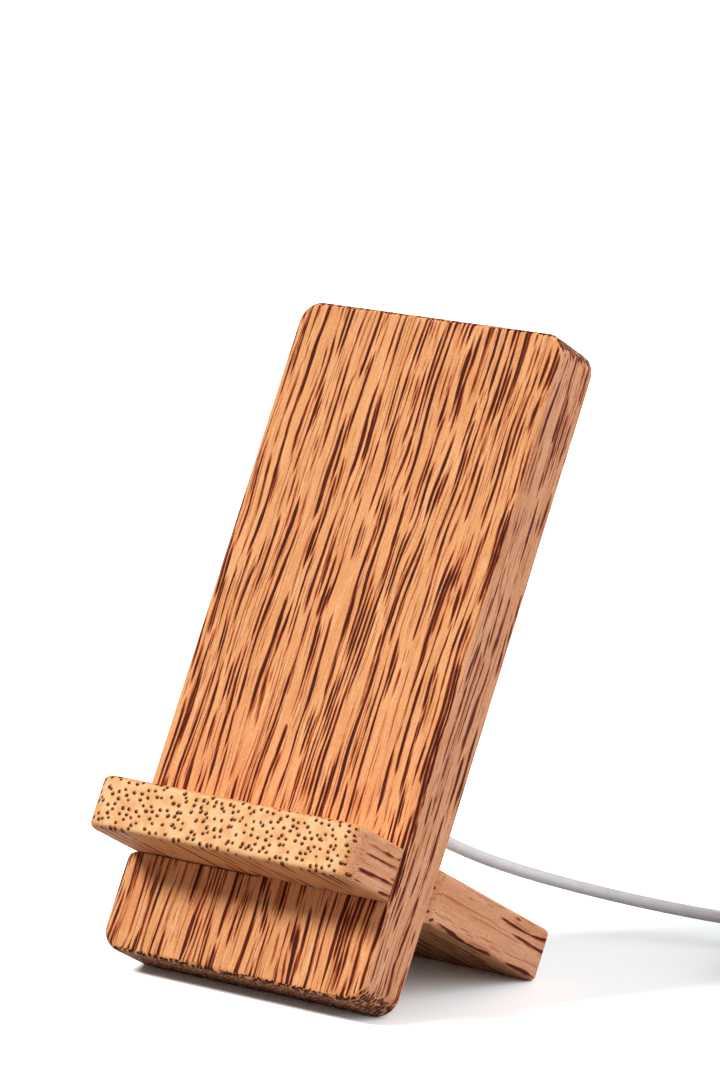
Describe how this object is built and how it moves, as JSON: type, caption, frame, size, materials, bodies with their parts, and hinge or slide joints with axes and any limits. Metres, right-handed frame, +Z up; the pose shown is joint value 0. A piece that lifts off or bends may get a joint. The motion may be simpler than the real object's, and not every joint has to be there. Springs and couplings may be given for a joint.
{
  "type": "phone stand",
  "caption": "Two interlocking wooden boards form a leaning phone stand with a front ledge, a rear leg and a wireless charger behind a back cover, fed by a cable.",
  "frame": {"origin": "on the floor that the stand stands on, under the middle of the stand's own box, its cable left out", "axes": "+X to the stand's right as seen from the front, +Y to the back where the leg and the cable are, +Z up"},
  "size_m": [0.1428, 0.1418, 0.1377],
  "materials": {
    "board_wood": "oiled palm wood, long grain on its face, satin",
    "support_wood": "oiled palm wood, end grain on its front, satin",
    "cover_plastic": "fine-textured matte",
    "screw_steel": "zinc plated",
    "adhesive": "matte tape",
    "coil_copper": "enamelled copper strands",
    "ferrite": "matte dark grey",
    "foam": "open foam, matte",
    "circuit_green": "solder mask, semi-gloss",
    "chip_black": "moulded epoxy",
    "ceramic": "fired ceramic",
    "can_aluminium": "satin",
    "connector_steel": "nickel plated",
    "insulator_black": "matte",
    "cable_white": "soft satin",
    "tie_grey": "woven hook-and-loop strap",
    "insulator_white": "matte",
    "contact_gold": "gold plated"
  },
  "bodies": {
    "stand": {"main_board": "board_wood", "back_cover": "cover_plastic", "cover_screws": "screw_steel", "coil_adhesive": "adhesive", "charging_coil": "coil_copper", "coil_leads": "coil_copper", "ferrite_sheet": "ferrite", "foam_pad": "foam", "circuit_board": "circuit_green", "circuit_board_pads": "foam", "controller_chip": "chip_black", "driver_chips": "chip_black", "resonance_capacitors": "ceramic", "input_capacitor": "can_aluminium", "resistors": "chip_black", "socket_shell": "connector_steel", "socket_tongue": "insulator_black", "device_plug_shell": "connector_steel", "device_plug_body": "cable_white", "device_plug_relief": "cable_white", "cable_lead": "cable_white", "cable_coil": "cable_white", "cable_tail": "cable_white", "cable_tie": "tie_grey", "charger_plug_relief": "cable_white", "charger_plug_body": "cable_white", "charger_plug_shell": "connector_steel", "charger_plug_tongue": "insulator_white", "charger_plug_contacts": "contact_gold"},
    "support": {"support_board": "support_wood"}
  },
  "joints": [
    {"name": "support_slide", "type": "slide", "parent": "stand", "child": "support", "axis": [-1, 0, 0], "range_m": [0, 0.04]}
  ]
}
